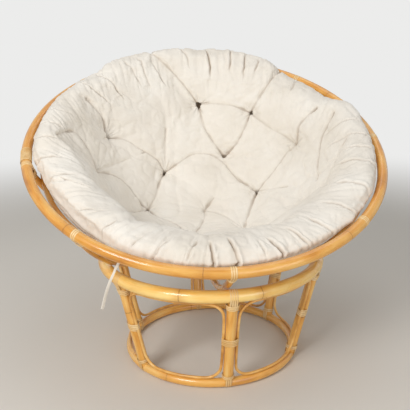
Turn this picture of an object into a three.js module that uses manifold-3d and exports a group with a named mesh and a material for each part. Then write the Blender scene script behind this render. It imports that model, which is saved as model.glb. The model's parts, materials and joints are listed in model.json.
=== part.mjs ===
// A round lounge chair: a rattan bowl, filled with a tufted cushion, leans forward in a drum-shaped stand.
// Millimetres, +Z up, the sitter looks along -Y. A pole's size is its radius. Turns and tilts are in degrees.
import * as THREE from "three";
import { mergeVertices } from "three/addons/utils/BufferGeometryUtils.js";
import Module from "manifold-3d";

// Clearances
const seatGap = 0.3; // between two pieces that touch
const turnGap = 0.5; // between neighbouring turns or layers of a winding
const weldDistance = 0.001; // vertices closer than this are one

// Binding cane, half round: flat against the poles, with its ridge outside
const caneWidth = 5.5;
const caneThickness = 1.6;

// Stand
const postCount = 6;
const topRingShare = 0.6055; // of the rim's radius
const topRingPole = 18;
const topRingHeight = 313;
const standFlare = 70; // how much wider the top ring is than the bottom one
const bottomRingPole = 13.5;
const postPole = 15;
const footFlat = 0.5; // depth of the flat that a foot winding stands on
const floorShare = 3; // size of the floor's cutter in bottom ring radii

// Bent rods, one closed loop in each bay of the stand
const loopRod = 4.5;
const loopBend = 28; // from the end of a post's winding to the start of the loop's corner

// Bowl
const ribAngles = [0, 45, 90, 135, 180, 225, 279, 315]; // the left rib sits off an even step
const scarfRib = 6; // the rib beside the joint of the rim's ends
const rimRadius = 550;
const rimPole = 15.5;
const bowlDepth = 380;
const ribPole = 10;
const ribEndRadius = 84;
const secondRingInset = 42; // from the rim in to the second ring
const secondRingPole = 8;
const innerRingRadius = 226;
const innerRingPole = 8;
const hubRingRadius = 102;
const hubRingPole = 8;
const restTilt = 25.8; // the bowl's lean towards the front

// Windings, in turns
// Each joint's strands pass over the ring, and its neck holds their legs to the pole.
const topTurns = 4;
const footTurns = 3;
const rimTurns = 3;
const neckTurns = 3;
const footNeckTurns = 2;
const middleTurns = 3.5;
const scarfTurns = 10;
const wrapSides = 8; // corners of a turn round a ring, and round a post with its rods
const neckSides = 6;

// Cushion
const cushionTuftThickness = 86;
const cushionCrown = 32;
const cushionRoll = 50;
const cushionBridge = 20; // how far the underside stands clear of the ribs between the rings
const cushionDimple = 52; // reach of a tuft's dimple
const cushionRimRest = 4; // clearance to the rim that the edge lies over
// How the edge sits at each 15 degrees from the front, as shares: -1 held in over the second ring,
// 0 tucked against the inside of the rim, 1 proud over the rim
const cushionEdgeShares = [
  0, -0.1, -0.3, -0.45, -0.5, -0.2, 0.3, 0.75, 0.1, 0, 0.6, 0.95,
  1, 1, 0.7, 0.1, 0, 0, 0, -0.7, -1, -0.8, -0.25, 0,
];
// How high its roll stands there, in shares of its full height
const cushionRiseShares = [
  1, 1, 1, 1, 1, 1, 1, 0.9, 0.5, 0.4, 0.85, 1,
  1, 1, 0.9, 0.7, 0.9, 1, 1, 0.9, 0.85, 0.85, 0.9, 1,
];
// The roll's outline in shares of its size, [out from the rim, above it]
const heldRollShares = [[-2.9, 0.55], [-2.4, 1], [-1.9, 1.12], [-1.4, 0.92], [-1.12, 0.5]];
const tuckedRollShares = [[-2.5, 0.6], [-2, 1.04], [-1.5, 1.2], [-1, 1.04], [-0.68, 0.6]];
const proudRollShares = [[-2.1, 0.75], [-1.5, 1.3], [-0.84, 1.52], [-0.2, 1.28], [0.08, 0.86]];
// The rows below it: in the same shares over the second ring, else as their place round the rim's section
const heldRestShares = [[-1.14, -0.05], [-1.12, -0.45], [-1.08, -0.8]];
const tuckedRest = [150, 165, 190];
const proudRest = [110, 150, 190];
const innerTuftPolar = 24;
const outerTuftPolar = 50.5;
const innerTuftAngles = [38, 98, 154, 217, 283, 342];
const outerTuftAngles = [25, 58, 87, 112, 146, 176, 207, 238, 264, 294, 325, 355];

// Tie of the cushion, a flat cotton tape
// It leaves the cushion between the second ring and the rim and hangs outside the bowl.
const tieWidth = 8.5;
const tieThickness = 2;
const tieRoundShare = 0.9114; // its place on the way round the cushion, from the front
const tieSeamShare = 0.38; // its place on the underside, from the edge's lowest row to the second ring
const tieStand = 0.7; // clearance between the cushion and the tie's end
const tieDrop = 127.2;
// Its course from where it leaves the cushion, in shares of its drop, [x, y, z]
const tieShares = [
  [0, 0, 0],
  [-0.064, -0.079, -0.112],
  [-0.153, -0.166, -0.23],
  [-0.219, -0.233, -0.348],
  [-0.303, -0.303, -0.509],
  [-0.377, -0.374, -0.699],
  [-0.43, -0.429, -0.871],
  [-0.465, -0.458, -1],
];

// Faces
const topRingSteps = 42;
const bottomRingSteps = 36;
const rimSteps = 80; // as on the inner rings, a flat faces each rib
const secondRingSteps = 40;
const innerRingSteps = 40;
const hubRingSteps = 40;
const cushionSteps = 48;
const tieSteps = 14;
const thickSides = 12; // top ring and rim
const middleSides = 10; // bottom ring and posts
const thinSides = 8; // ribs, rings inside the bowl and tie
const rodSides = 6;
const rodCornerPoints = 5;
const rodRuns = 5; // straight runs along each side of a bay
const ribBend = 7; // most that a rib turns at one of its corners
const seatPolars = [5, 12, 18, 24, 31, 38, 44.5, 50.5, 56]; // rows of the cushion's top, from the bowl's axis
const underShares = [1, 0.776, 0.498, 0.22, 0]; // rows of its underside, from the inner ring to the second

const deg = Math.PI / 180;
const topRingRadius = topRingShare * rimRadius;
const bottomRingRadius = topRingRadius - standFlare;
const secondRingRadius = rimRadius - secondRingInset;
const caneTurn = caneWidth + turnGap;
const wasm = await Module();
wasm.setup();

const material = (name, color, roughness) =>
  new THREE.MeshStandardMaterial({ name, color, roughness, metalness: 0 });
const rattan = material("rattan_pole", 0xd9a35a, 0.35);
const rattanPale = material("rattan_pole_pale", 0xe0b26c, 0.4);
const cane = material("cane_binding", 0xe8cb8f, 0.5);
const canvas = material("cotton_cushion", 0xece6da, 0.9);
const cotton = material("cotton_tie", 0xe6dfd0, 0.95);

const lerp = THREE.MathUtils.lerp;
const round = (angle) => new THREE.Vector3(Math.sin(angle), -Math.cos(angle), 0);
const up = new THREE.Vector3(0, 0, 1);
const onSphere = (angle, polar, radius) =>
  round(angle)
    .multiplyScalar(radius * Math.sin(polar))
    .addScaledVector(up, -radius * Math.cos(polar));

// A closed solid from rows of points. Each row closes on itself and runs counter-clockwise, looking towards
// the next. The ends are flat caps, or the last row joins the first.
function gridSolid(rows, joined) {
  const width = rows[0].length;
  const position = rows.flat().flatMap((p) => [p.x, p.y, p.z]);
  const index = [];
  const last = joined ? rows.length : rows.length - 1;
  for (let i = 0; i < last; i++)
    for (let j = 0; j < width; j++) {
      const a = i * width + j;
      const b = i * width + ((j + 1) % width);
      const c = ((i + 1) % rows.length) * width + j;
      const d = ((i + 1) % rows.length) * width + ((j + 1) % width);
      index.push(a, d, b, a, c, d);
    }
  if (!joined)
    for (let j = 1; j < width - 1; j++) {
      const end = last * width;
      index.push(0, j, j + 1, end, end + j + 1, end + j);
    }
  const geometry = new THREE.BufferGeometry();
  geometry.setAttribute("position", new THREE.Float32BufferAttribute(position, 3));
  geometry.setIndex(index);
  return geometry;
}

// Rows of a section carried along a path. The section is a list of [across, out] pairs.
// Each corner is mitred, so the section keeps its size on both sides of it.
function sweepRows(path, outward, section, joined) {
  return path.map((point, i) => {
    const before = path[joined ? (i + path.length - 1) % path.length : Math.max(i - 1, 0)];
    const after = path[joined ? (i + 1) % path.length : Math.min(i + 1, path.length - 1)];
    const forward = new THREE.Vector3().subVectors(after, point).normalize();
    const arriving = new THREE.Vector3().subVectors(point, before).normalize();
    if (forward.lengthSq() === 0) forward.copy(arriving);
    if (arriving.lengthSq() === 0) arriving.copy(forward);
    const middle = new THREE.Vector3().addVectors(forward, arriving).normalize();
    const out = outward[i].clone().addScaledVector(middle, -outward[i].dot(middle)).normalize();
    const across = new THREE.Vector3().crossVectors(middle, out);
    const mitre = (v) => 1 / Math.sqrt(1 - v.dot(forward) ** 2);
    const outSize = mitre(out);
    const acrossSize = mitre(across);
    return section.map(([a, o]) =>
      point.clone().addScaledVector(across, a * acrossSize).addScaledVector(out, o * outSize),
    );
  });
}

// A pole's section with a corner at its outside
function roundSection(radius, sides) {
  return Array.from({ length: sides }, (_, k) => {
    const angle = (2 * Math.PI * k) / sides;
    return [-radius * Math.sin(angle), radius * Math.cos(angle)];
  });
}

// A pole's section with a flat at its outside, and the size across its corners
const cornerSize = (radius, sides) => radius / Math.cos(Math.PI / sides);
function flatSection(radius, sides) {
  return Array.from({ length: sides }, (_, k) => {
    const angle = (2 * Math.PI * (k + 0.5)) / sides;
    return [-cornerSize(radius, sides) * Math.sin(angle), cornerSize(radius, sides) * Math.cos(angle)];
  });
}

// A ring of pole about the Z axis. A flat stretch is centred on the angle 0 and on each joint.
// One corner of its section faces away from the axis, or leans down to the given polar angle.
function ring(radius, pole, steps, sides, height, polar = Math.PI / 2) {
  const profile = Array.from({ length: sides + 1 }, (_, k) => {
    const angle = polar - Math.PI / 2 + (2 * Math.PI * (k % sides)) / sides;
    return new THREE.Vector2(radius + pole * Math.cos(angle), height + pole * Math.sin(angle));
  });
  return new THREE.LatheGeometry(profile, steps, Math.PI / steps).rotateX(Math.PI / 2);
}

// Distance from the axis to the middle of a ring's straight stretch
const flatRadius = (radius, steps) => radius * Math.cos(Math.PI / steps);

function toManifold(geometry) {
  const bare = new THREE.BufferGeometry();
  bare.setAttribute("position", geometry.getAttribute("position"));
  if (geometry.index) bare.setIndex(geometry.index);
  const merged = mergeVertices(bare, weldDistance);
  return new wasm.Manifold(
    new wasm.Mesh({
      numProp: 3,
      vertProperties: merged.getAttribute("position").array,
      triVerts: new Uint32Array(merged.index.array),
    }),
  );
}

function fromManifold(body) {
  const { vertProperties, triVerts } = body.getMesh();
  const geometry = new THREE.BufferGeometry();
  geometry.setAttribute("position", new THREE.BufferAttribute(new Float32Array(vertProperties), 3));
  geometry.setIndex(new THREE.BufferAttribute(new Uint32Array(triVerts), 1));
  return geometry;
}

function cut(geometry, cutters) {
  return fromManifold(cutters.reduce((body, c) => body.subtract(c), toManifold(geometry)));
}

function mesh(name, geometry, material, parent) {
  geometry.computeVertexNormals();
  const piece = new THREE.Mesh(geometry, material);
  piece.name = name;
  parent.add(piece);
  return piece;
}

// Windings
// A frame at a joint: along the carried ring, to the side and down the pole that meets it.
const place = (frame, a, s, d) =>
  frame.origin
    .clone()
    .addScaledVector(frame.along, a)
    .addScaledVector(frame.side, s)
    .addScaledVector(frame.down, d);

const direction = (frame, a, s, d) =>
  place({ ...frame, origin: new THREE.Vector3() }, a, s, d).normalize();

// Flat base of the cane at its inside, ridge at its outside; the path runs half its thickness above the pole.
const caneSection = [
  [-caneWidth / 2, -caneThickness / 2],
  [caneWidth / 2, -caneThickness / 2],
  [0, caneThickness / 2],
];

// Corner k of the polygon of `sides` lines that touch all the circles [x, y, radius], moved out by an offset
function girdle(circles, offset, sides, k) {
  const step = (2 * Math.PI) / sides;
  const reach = (angle) =>
    offset + Math.max(...circles.map(([x, y, r]) => x * Math.cos(angle) + y * Math.sin(angle) + r));
  const a = k * step;
  const b = a + step;
  const ha = reach(a);
  const hb = reach(b);
  const x = (ha * Math.sin(b) - hb * Math.sin(a)) / Math.sin(step);
  const y = (hb * Math.cos(a) - ha * Math.cos(b)) / Math.sin(step);
  return { x, y, angle: a + step / 2 };
}

// Turns of cane round several poles side by side, climbing along frame.down
function bandWinding(frame, circles, turns) {
  const offset = seatGap + caneThickness / 2;
  const path = [];
  const outward = [];
  for (let k = 0; k <= turns * wrapSides; k++) {
    const corner = girdle(circles, offset, wrapSides, k);
    const climb = caneTurn * (k / wrapSides - turns / 2);
    path.push(place(frame, corner.x, corner.y, climb));
    outward.push(direction(frame, Math.cos(corner.angle), Math.sin(corner.angle), 0));
  }
  return { path, outward };
}

// How far a winding reaches down its pole: its legs, the start of the neck, and the whole
const neckLead = 2 / 3; // sides of the neck between the last leg and its first corner
const neckStart = caneTurn * (1 + neckLead / neckSides);
const windingLegs = (ringPole, turns) => ringPole + seatGap + turns * caneTurn;
const windingEnd = (ringPole, turns) => windingLegs(ringPole, turns) + neckStart + caneWidth / 2;

// Strands that pass over a ring and lie down both sides of the pole below it, then go on as a neck
// of turns that holds their legs to the pole. A strand shows a flat in the direction `facing`, and
// bend(d) gives how far the pole's centre has bent to the side at the depth d.
function jointWinding(frame, ringPole, pole, strands, turns, facing, bend) {
  const wrapStep = (2 * Math.PI) / wrapSides;
  const neckStep = (2 * Math.PI) / neckSides;
  const lastCorner = (wrapSides - 3) / 2; // from the middle of a strand's bend to its lowest corner
  const over = ringPole + seatGap + caneThickness / 2;
  const against = pole + seatGap + caneThickness / 2;
  const legEnd = windingLegs(ringPole, turns);
  const turned = facing - Math.round(facing / wrapStep) * wrapStep;
  const path = [];
  const outward = [];
  const add = (a, s, d, out) => {
    path.push(place(frame, a, s, d));
    outward.push(out);
  };
  const shoulder = over * Math.tan(wrapStep / 2);
  const strandPlace = (i) => caneTurn * (i - (strands - 1) / 2);
  let side = 1;
  // A leg turns back beside the next one in a plane that touches the pole between the two.
  const addLeg = (i, next, d) => {
    const between = next < 0 || next >= strands ? strandPlace(i) : (strandPlace(i) + strandPlace(next)) / 2;
    const out = [between / against, side * Math.sqrt(1 - (between / against) ** 2)];
    const s = (against - strandPlace(i) * out[0]) / out[1];
    add(strandPlace(i), s + bend(d), d, direction(frame, ...out, 0));
  };
  for (let i = 0; i < strands; i++) {
    const a = strandPlace(i);
    const near = Math.max(Math.abs(a) - caneWidth / 2, 0);
    const leg = Math.sqrt((pole + seatGap) ** 2 - near ** 2) + caneThickness / 2;
    const low = i === strands - 1 ? legEnd + neckStart : legEnd;
    addLeg(i, i - 1, legEnd);
    for (let k = -lastCorner; k <= lastCorner; k++) {
      const angle = turned - side * k * wrapStep;
      const wide = over / Math.cos(wrapStep / 2);
      const s = wide * Math.sin(angle);
      const d = -wide * Math.cos(angle);
      const flank = Math.abs(k) === lastCorner ? Math.sign(s) * Math.max(Math.abs(s), leg) : s;
      add(a, flank, d, direction(frame, 0, Math.sin(angle), -Math.cos(angle)));
    }
    side = -side;
    addLeg(i, i + 1, low);
  }
  const aLast = strandPlace(strands - 1);
  const legLast = Math.sqrt(against ** 2 - aLast ** 2);
  const flare = (d) => {
    const share = Math.min((d - shoulder) / (legEnd - shoulder), 1);
    return Math.max(Math.hypot(lerp(over, legLast, share), aLast), against) + caneThickness + turnGap;
  };
  const legAngle = Math.atan2(side * legLast, aLast);
  for (let k = 0; k <= turns * neckSides; k++) {
    const angle = legAngle - side * (neckLead + k) * neckStep;
    const d = legEnd + caneTurn * (1 - k / neckSides);
    const r = flare(d) / Math.cos(neckStep / 2);
    add(
      r * Math.cos(angle),
      r * Math.sin(angle) + bend(d),
      d,
      direction(frame, Math.cos(angle), Math.sin(angle), 0),
    );
  }
  return { path, outward };
}

// Least distance between turns that lie apart along the winding, measured on points of their edges
const samplesPerStretch = 6;
const apartWidths = 3; // points less than this many widths apart along the cane belong to the same turn
let leastTurnGap = Infinity;
function measureTurns(rows) {
  const samples = [];
  let run = 0;
  for (let i = 0; i + 1 < rows.length; i++) {
    const length = rows[i][0].distanceTo(rows[i + 1][0]);
    for (let m = 0; m < samplesPerStretch; m++) {
      const share = m / samplesPerStretch;
      for (const [j, corner] of rows[i].entries())
        samples.push({ point: corner.clone().lerp(rows[i + 1][j], share), at: run + length * share });
    }
    run += length;
  }
  samples.forEach((sample, i) => {
    for (const other of samples.slice(i + 1))
      if (other.at - sample.at > apartWidths * caneWidth)
        leastTurnGap = Math.min(leastTurnGap, sample.point.distanceTo(other.point));
  });
}

function windingSolid({ path, outward }) {
  const rows = sweepRows(path, outward, caneSection, false);
  measureTurns(rows);
  return gridSolid(rows, false);
}

const object = new THREE.Group();
const chair = new THREE.Group();
const stand = new THREE.Group();
object.add(chair);
chair.add(stand);

// The stand rests on its foot windings, which pass under the bottom ring.
const bottomRingHeight = bottomRingPole + seatGap + caneThickness - footFlat;
const topFlat = flatRadius(topRingRadius, topRingSteps);
const bottomFlat = flatRadius(bottomRingRadius, bottomRingSteps);

// The stand is turned so that the front rib rests on the first strand of the front post's winding.
const ribRest = 0.35; // share of the rib's radius that lies beside the strand's middle
const ribAside = ((topTurns - 1) * caneTurn) / 2 + ribRest * ribPole;
stand.rotation.z = Math.asin(ribAside / topRingRadius);

// Bowl: ribs and rim lie on a sphere, so the bowl can turn in the stand's ring about the sphere's centre.
const rimFlat = flatRadius(rimRadius, rimSteps);
const sphere = (rimFlat ** 2 + bowlDepth ** 2) / (2 * bowlDepth);
const rimDrop = sphere - bowlDepth; // from the sphere's centre down to the rim's plane
const rimPolar = Math.asin(rimFlat / sphere);
chair.position.y = -rimDrop * Math.sin(restTilt * deg); // the rim's centre lies over the origin
const seatDistance = sphere + ribPole + seatGap + topRingPole + seatGap + caneThickness;
const sphereHeight = topRingHeight + Math.sqrt(seatDistance ** 2 - topFlat ** 2);

// Stand rings. A piece that meets one is coped to the same ring with a clearance round it.
const topRing = (clearance) =>
  ring(topRingRadius, topRingPole + clearance, topRingSteps, thickSides, topRingHeight);
const bottomRing = (clearance) =>
  ring(bottomRingRadius, bottomRingPole + clearance, bottomRingSteps, middleSides, bottomRingHeight);
mesh("stand_top_ring", topRing(0), rattanPale, stand);
mesh("stand_bottom_ring", bottomRing(0), rattan, stand);
const topCutter = toManifold(topRing(seatGap));
const bottomCutter = toManifold(bottomRing(seatGap));

// Posts, coped at both ends to the rings that they meet
const slopeLength = Math.hypot(topFlat - bottomFlat, topRingHeight - bottomRingHeight);
const postTrim = 0.5; // share of a ring's pole that a post's end is short of the ring's centre

function postFrames(angle) {
  const out = round(angle);
  const along = new THREE.Vector3(Math.cos(angle), Math.sin(angle), 0);
  const top = out.clone().multiplyScalar(topFlat).addScaledVector(up, topRingHeight);
  const bottom = out.clone().multiplyScalar(bottomFlat).addScaledVector(up, bottomRingHeight);
  const rise = new THREE.Vector3().subVectors(top, bottom).normalize();
  const side = new THREE.Vector3().crossVectors(along, rise);
  if (side.dot(out) < 0) side.negate();
  return {
    top: { origin: top, along, side, down: rise.clone().negate() },
    bottom: { origin: bottom, along, side, down: rise },
  };
}

function post(frames) {
  const from = frames.bottom.origin.clone().addScaledVector(frames.bottom.down, postTrim * bottomRingPole);
  const to = frames.top.origin.clone().addScaledVector(frames.top.down, postTrim * topRingPole);
  const shape = new THREE.CylinderGeometry(postPole, postPole, from.distanceTo(to), middleSides);
  const cylinderAxis = new THREE.Vector3(0, 1, 0);
  shape.applyQuaternion(new THREE.Quaternion().setFromUnitVectors(cylinderAxis, frames.bottom.down));
  shape.translate(...from.add(to).multiplyScalar(0.5).toArray());
  return cut(shape, [topCutter, bottomCutter]);
}

// The bent loops lie on the cone of the posts. x runs from a post's centre round the stand, u up the slope.
const loopSide = postPole + seatGap + loopRod;
const loopBottom = bottomRingPole + seatGap + loopRod;
const loopTop = slopeLength - topRingPole - seatGap - loopRod;
const topCorner = windingEnd(topRingPole, neckTurns) + loopBend - (slopeLength - loopTop);
const footCorner = windingEnd(bottomRingPole, footNeckTurns) + loopBend - loopBottom;
const coneRadius = (u) => lerp(bottomRingRadius, topRingRadius, u / slopeLength);
const conePoint = (angle, u) =>
  round(angle)
    .multiplyScalar(coneRadius(u))
    .addScaledVector(up, lerp(bottomRingHeight, topRingHeight, u / slopeLength));

function bayLoop(left, right) {
  const corner = (x, u, radius, from, to) =>
    Array.from({ length: rodCornerPoints }, (_, k) => {
      const angle = lerp(from, to, k / (rodCornerPoints - 1));
      return [x + radius * Math.cos(angle), u + radius * Math.sin(angle)];
    });
  const quarter = Math.PI / 2;
  const upper = corner(loopSide + topCorner, loopTop - topCorner, topCorner, 2 * quarter, quarter);
  const lower = corner(loopSide + footCorner, loopBottom + footCorner, footCorner, 3 * quarter, 2 * quarter);
  const half = [...lower, ...upper];
  const angles = [];
  for (const [x, u] of half) angles.push([left + x / coneRadius(u), u]);
  const fill = (from, to) => {
    for (let k = 1; k < rodRuns; k++) angles.push([lerp(from, to, k / rodRuns), angles.at(-1)[1]]);
  };
  const [xTop, uTop] = half.at(-1);
  fill(left + xTop / coneRadius(uTop), right - xTop / coneRadius(uTop));
  for (const [x, u] of [...half].reverse()) angles.push([right - x / coneRadius(u), u]);
  const [xLow, uLow] = half[0];
  fill(right - xLow / coneRadius(uLow), left + xLow / coneRadius(uLow));
  const path = angles.map(([angle, u]) => conePoint(angle, u));
  const outward = angles.map(([angle]) => round(angle));
  return gridSolid(sweepRows(path, outward, roundSection(loopRod, rodSides), true), true);
}

const straight = () => 0;
const facing = (frame, way) => Math.atan2(way.dot(frame.side), -way.dot(frame.down));
const postStep = 360 / postCount;
for (let i = 0; i < postCount; i++) {
  const number = i + 1;
  const angle = i * postStep * deg;
  const frames = postFrames(angle);
  mesh(`stand_post_${number}`, post(frames), rattan, stand);
  mesh(`stand_loop_${number}`, bayLoop(angle, angle + postStep * deg), rattanPale, stand);

  // The top strands show a flat to the bowl that rests on them, and the foot's strands show one to the floor.
  const toCentre = new THREE.Vector3(0, 0, sphereHeight).sub(frames.top.origin);
  const bowlWay = facing(frames.top, toCentre);
  mesh(
    `stand_top_binding_${number}`,
    windingSolid(jointWinding(frames.top, topRingPole, postPole, topTurns, neckTurns, bowlWay, straight)),
    cane,
    stand,
  );
  const floorWay = facing(frames.bottom, up.clone().negate());
  const foot = windingSolid(
    jointWinding(frames.bottom, bottomRingPole, postPole, footTurns, footNeckTurns, floorWay, straight),
  );
  mesh(`stand_foot_binding_${number}`, cut(foot, [underFloor()]), cane, stand);

  const middle = slopeLength / 2;
  const origin = frames.bottom.origin.clone().addScaledVector(frames.bottom.down, middle);
  const rod = (sign) => {
    const centre = conePoint(angle + (sign * loopSide) / coneRadius(middle), middle).sub(origin);
    return [centre.dot(frames.bottom.along), centre.dot(frames.bottom.side), loopRod];
  };
  mesh(
    `stand_middle_binding_${number}`,
    windingSolid(
      bandWinding({ ...frames.bottom, origin }, [[0, 0, postPole], rod(1), rod(-1)], middleTurns),
    ),
    cane,
    stand,
  );
}

// A block under the floor, wider than the stand, that cuts the foot windings flat
function underFloor() {
  const size = floorShare * bottomRingRadius;
  return toManifold(new THREE.BoxGeometry(size, size, size).translate(0, 0, -size / 2));
}

// Bowl frame: its origin is the sphere's centre and its own Z is the bowl's axis.
const bowl = new THREE.Group();
bowl.position.z = sphereHeight;
bowl.rotation.x = restTilt * deg;
chair.add(bowl);

// The inner rings touch the inside of the ribs at the middle of each straight stretch.
function innerRing(radius, pole, steps) {
  const distance = sphere - ribPole - seatGap - pole;
  return { polar: Math.asin(flatRadius(radius, steps) / distance), distance, radius, pole, steps };
}
const secondRing = innerRing(secondRingRadius, secondRingPole, secondRingSteps);
const innerMiddleRing = innerRing(innerRingRadius, innerRingPole, innerRingSteps);
const hubRing = innerRing(hubRingRadius, hubRingPole, hubRingSteps);
const rings = { bowl_second_ring: secondRing, bowl_inner_ring: innerMiddleRing, bowl_hub_ring: hubRing };
const rim = (clearance) => ring(rimRadius, rimPole + clearance, rimSteps, thickSides, -rimDrop);
mesh("bowl_rim", rim(0), rattan, bowl);
for (const [name, { radius, pole, steps, distance, polar }] of Object.entries(rings))
  mesh(name, ring(radius, pole, steps, thinSides, -distance * Math.cos(polar), polar), rattan, bowl);

// Ribs, bent to the sphere, coped to the rim at one end and open at the hub
const rimCutter = toManifold(rim(seatGap));
const neckLength = windingEnd(rimPole, neckTurns);
const stations = ribStations();
function ribStations() {
  const marks = [
    rimPolar - (postTrim * rimPole) / sphere,
    rimPolar - neckLength / 2 / sphere,
    rimPolar - neckLength / sphere,
    secondRing.polar,
    innerMiddleRing.polar,
    hubRing.polar,
    Math.asin(topFlat / seatDistance) + restTilt * deg,
    Math.asin(ribEndRadius / sphere),
  ].sort((a, b) => b - a);
  const list = [marks[0]];
  for (let i = 1; i < marks.length; i++) {
    const parts = Math.ceil((marks[i - 1] - marks[i]) / (ribBend * deg));
    for (let k = 1; k <= parts; k++) list.push(lerp(marks[i - 1], marks[i], k / parts));
  }
  return list;
}

function rib(angle) {
  const path = stations.map((polar) => onSphere(angle, polar, sphere));
  const outward = stations.map((polar) => onSphere(angle, polar, sphere).normalize());
  return cut(gridSolid(sweepRows(path, outward, flatSection(ribPole, thinSides), false), false), [rimCutter]);
}

function rimFrame(angle) {
  const out = round(angle);
  return {
    origin: out.clone().multiplyScalar(rimFlat).addScaledVector(up, -rimDrop),
    along: new THREE.Vector3(Math.cos(angle), Math.sin(angle), 0),
    side: onSphere(angle, rimPolar, sphere).normalize(),
    down: out.clone().multiplyScalar(-Math.cos(rimPolar)).addScaledVector(up, -Math.sin(rimPolar)),
  };
}
const ribSag = (d) => Math.sqrt(sphere ** 2 - d ** 2) - sphere;
const ribCorner = cornerSize(ribPole, thinSides);
for (const [i, ribAngle] of ribAngles.entries()) {
  const number = i + 1;
  const angle = ribAngle * deg;
  mesh(`bowl_rib_${number}`, rib(angle), rattan, bowl);
  mesh(
    `bowl_rim_binding_${number}`,
    windingSolid(jointWinding(rimFrame(angle), rimPole, ribCorner, rimTurns, neckTurns, 0, ribSag)),
    cane,
    bowl,
  );
}

// The rim's ends are scarfed together and bound, behind the left rib's binding.
const scarfHalf = (scarfTurns * caneTurn) / 2;
const scarfReach = scarfHalf + ((rimTurns + 1) * caneTurn) / 2 + caneTurn;
const scarfAngle = ribAngles[scarfRib] * deg - scarfReach / rimRadius;
const scarfFrame = rimFrame(scarfAngle);
mesh(
  "bowl_rim_scarf_binding",
  windingSolid(
    bandWinding(
      {
        origin: round(scarfAngle).multiplyScalar(rimRadius - scarfSag()).addScaledVector(up, -rimDrop),
        along: scarfFrame.side,
        side: scarfFrame.down,
        down: scarfFrame.along,
      },
      [[0, 0, rimPole + scarfSag()]],
      scarfTurns,
    ),
  ),
  cane,
  bowl,
);

// Half of how far the rim strays from a straight line inside this band
function scarfSag() {
  return (rimRadius - Math.sqrt(rimFlat ** 2 - (scarfHalf + caneWidth) ** 2)) / 2;
}

// Cushion
// The seat's surface stands a thickness above the rings' inner face, less at each tuft. Its edge is a puffed
// roll that lies over the rim, and its underside touches the rings and bridges between them.
const cushionBase = sphere - ribPole - 2 * seatGap - 2 * Math.max(secondRingPole, innerRingPole, hubRingPole);
const tuftDistance = cushionBase - cushionTuftThickness;
const crownDistance = tuftDistance - cushionCrown;
const tuftPoint = (angle, polar) => onSphere(angle * deg, polar * deg, tuftDistance);
const tufts = [
  tuftPoint(0, 0),
  ...innerTuftAngles.map((a) => tuftPoint(a, innerTuftPolar)),
  ...outerTuftAngles.map((a) => tuftPoint(a, outerTuftPolar)),
];

// The value of a round table of shares at an angle
function readShares(shares, angle) {
  const place = (angle / (2 * Math.PI)) * shares.length;
  const from = Math.floor(place);
  const next = (from + 1) % shares.length;
  return lerp(shares[from], shares[next], place - from);
}

// A point of the edge between its held, tucked and proud places, each as [out, above]
function edgePoint(angle, held, tucked, proud) {
  const edge = readShares(cushionEdgeShares, angle);
  const other = edge < 0 ? held : proud;
  const [out, above] = tucked.map((value, k) => lerp(value, other[k], Math.abs(edge)));
  return round(angle).multiplyScalar(rimFlat + out).addScaledVector(up, above - rimDrop);
}

const seatPoint = (angle, polar) => {
  const crowned = onSphere(angle, polar, tuftDistance);
  const nearest = Math.min(...tufts.map((tuft) => tuft.distanceTo(crowned)));
  const dimple = cushionCrown * Math.exp(-((nearest / cushionDimple) ** 2));
  return onSphere(angle, polar, crownDistance + dimple);
};

const rollPoint = (angle, k) => {
  const rise = readShares(cushionRiseShares, angle);
  const sized = ([out, above]) => [cushionRoll * out, cushionRoll * above * rise];
  return edgePoint(angle, sized(heldRollShares[k]), sized(tuckedRollShares[k]), sized(proudRollShares[k]));
};

const restTurn = proudRest[1] - proudRest[0];
const restDistance = (rimPole + cushionRimRest) / Math.cos((restTurn / 2) * deg);
const restPoint = (angle, k) => {
  const roundRim = (turn) => [restDistance * Math.cos(turn * deg), restDistance * Math.sin(turn * deg)];
  const held = heldRestShares[k].map((share) => cushionRoll * share);
  return edgePoint(angle, held, roundRim(tuckedRest[k]), roundRim(proudRest[k]));
};

const underPoint = (angle, share) => {
  const bridge = cushionBridge * Math.sin(Math.PI * share) ** 2;
  return onSphere(angle, lerp(innerMiddleRing.polar, secondRing.polar, share), cushionBase - bridge);
};

const columnAngle = (k) => (2 * Math.PI * (k + 0.5)) / cushionSteps;

function cushion() {
  const rows = [];
  const row = (at) => rows.push(Array.from({ length: cushionSteps }, (_, k) => at(columnAngle(k))));
  for (const polar of seatPolars) row((angle) => seatPoint(angle, polar * deg));
  for (const k of tuckedRollShares.keys()) row((angle) => rollPoint(angle, k));
  for (const k of tuckedRest.keys()) row((angle) => restPoint(angle, k));
  for (const share of underShares) row((angle) => underPoint(angle, share));
  return gridSolid(rows, false);
}
mesh("cushion", cushion(), canvas, bowl);

// The tie starts on a facet of the underside, between two of the cushion's columns.
function tieSeam() {
  const column = tieRoundShare * cushionSteps - 0.5;
  const at = (k) =>
    restPoint(columnAngle(k), tuckedRest.length - 1).lerp(underPoint(columnAngle(k), 1), tieSeamShare);
  return at(Math.floor(column)).lerp(at(Math.ceil(column)), column % 1);
}

object.updateMatrixWorld(true);
const tieCourse = tieShares.map((share) => new THREE.Vector3(...share).multiplyScalar(tieDrop));
const tieStart = tieSeam()
  .applyMatrix4(bowl.matrixWorld)
  .addScaledVector(tieCourse[1].clone().normalize(), tieStand);
const tiePath = new THREE.CatmullRomCurve3(tieCourse.map((point) => point.add(tieStart)));
const tieShape = new THREE.Shape(
  roundSection(1, thinSides).map(([x, y]) => new THREE.Vector2((x * tieWidth) / 2, (y * tieThickness) / 2)),
);
const tie = new THREE.ExtrudeGeometry(tieShape, { steps: tieSteps, extrudePath: tiePath });
mesh("cushion_tie", tie, cotton, object);

console.log("least gap between a winding's turns: " + leastTurnGap.toFixed(2) + " mm");

export default object;
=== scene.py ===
import json
import math
import bpy
import numpy as np
from mathutils import Matrix, Vector


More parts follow.
